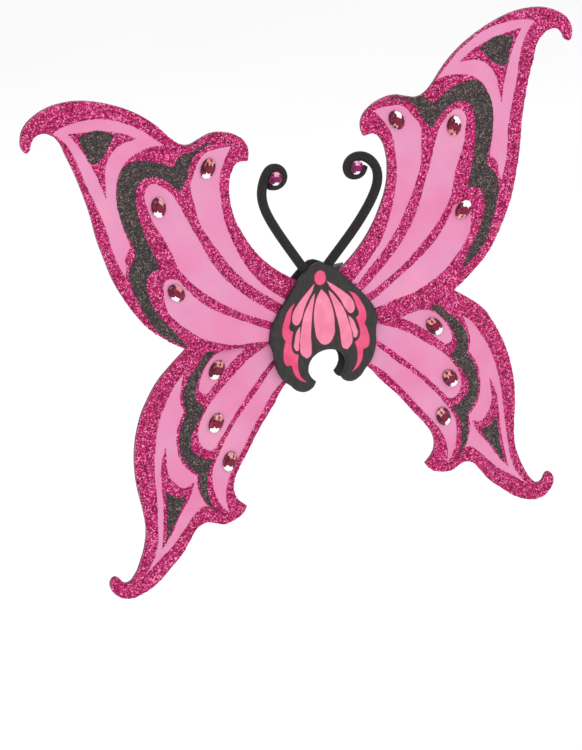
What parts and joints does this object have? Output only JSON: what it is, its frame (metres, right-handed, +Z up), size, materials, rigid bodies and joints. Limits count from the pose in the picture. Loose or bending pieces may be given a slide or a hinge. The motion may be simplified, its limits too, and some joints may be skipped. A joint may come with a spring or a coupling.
{
  "type": "fairy wings",
  "caption": "Butterfly-shaped costume wings of die-cut foam with printed glitter bands, oval gems, curled antennae, a foam body plate and elastic shoulder loops.",
  "frame": {"origin": "middle of the back cover's wearer-side face, on the centreline, halfway up the body", "axes": "+Z up, +Y towards the wearer's back, +X towards the wearer's right; the decorated faces look along -Y"},
  "size_m": [0.631, 0.0953, 0.5757],
  "materials": {
    "glitter_foam": "EVA foam sheet, printed pink with magenta and black glitter",
    "body_foam": "charcoal EVA foam with printed pink petals",
    "back_felt": "black needled felt",
    "board": "stiff fibre board",
    "antenna_foam": "black foam sleeve, matt",
    "steel_wire": "annealed craft wire",
    "felt_tape": "black felt strip",
    "gem": "foil-backed faceted acrylic, ruby",
    "elastic": "woven black elastic",
    "thread": "polyester thread"
  },
  "bodies": {
    "root": {"back_cover": "back_felt", "inner_board": "board", "body_plate": "body_foam", "upper_sheet_centre": "glitter_foam", "lower_sheet_centre": "glitter_foam", "antenna_base_left": "antenna_foam", "antenna_base_right": "antenna_foam", "antenna_yoke_wire": "steel_wire", "strap_left": "elastic", "strap_right": "elastic", "strap_stitching": "thread"},
    "wing_left": {"upper_wing_left": "glitter_foam", "lower_wing_left": "glitter_foam", "upper_wire_left": "steel_wire", "lower_wire_left": "steel_wire", "upper_wire_tape_left": "felt_tape", "lower_wire_tape_left": "felt_tape", "gem_upper_inner_left": "gem", "gem_upper_outer_left": "gem", "gem_upper_low_left": "gem", "gem_lower_top_left": "gem", "gem_lower_middle_left": "gem", "gem_lower_bottom_left": "gem"},
    "antenna_left": {"antenna_sleeve_left": "antenna_foam", "antenna_wire_left": "steel_wire", "gem_antenna_left": "gem"},
    "wing_right": {"upper_wing_right": "glitter_foam", "lower_wing_right": "glitter_foam", "upper_wire_right": "steel_wire", "lower_wire_right": "steel_wire", "upper_wire_tape_right": "felt_tape", "lower_wire_tape_right": "felt_tape", "gem_upper_inner_right": "gem", "gem_upper_outer_right": "gem", "gem_upper_low_right": "gem", "gem_lower_top_right": "gem", "gem_lower_middle_right": "gem", "gem_lower_bottom_right": "gem"},
    "antenna_right": {"antenna_sleeve_right": "antenna_foam", "antenna_wire_right": "steel_wire", "gem_antenna_right": "gem"}
  },
  "joints": [
    {"name": "wing_left_fold", "type": "hinge", "parent": "root", "child": "wing_left", "pos_m": [-0.067, -0.01175, 0], "axis": [0, 0, 1], "range_deg": [-20, 75]},
    {"name": "wing_right_fold", "type": "hinge", "parent": "root", "child": "wing_right", "pos_m": [0.067, -0.01175, 0], "axis": [0, 0, -1], "range_deg": [-20, 75]},
    {"name": "antenna_left_bend", "type": "hinge", "parent": "root", "child": "antenna_left", "pos_m": [-0.0186, -0.0085, 0.073], "axis": [1, 0, 0], "range_deg": [-25, 10]},
    {"name": "antenna_right_bend", "type": "hinge", "parent": "root", "child": "antenna_right", "pos_m": [0.025, -0.0085, 0.073], "axis": [1, 0, 0], "range_deg": [-25, 10]}
  ]
}
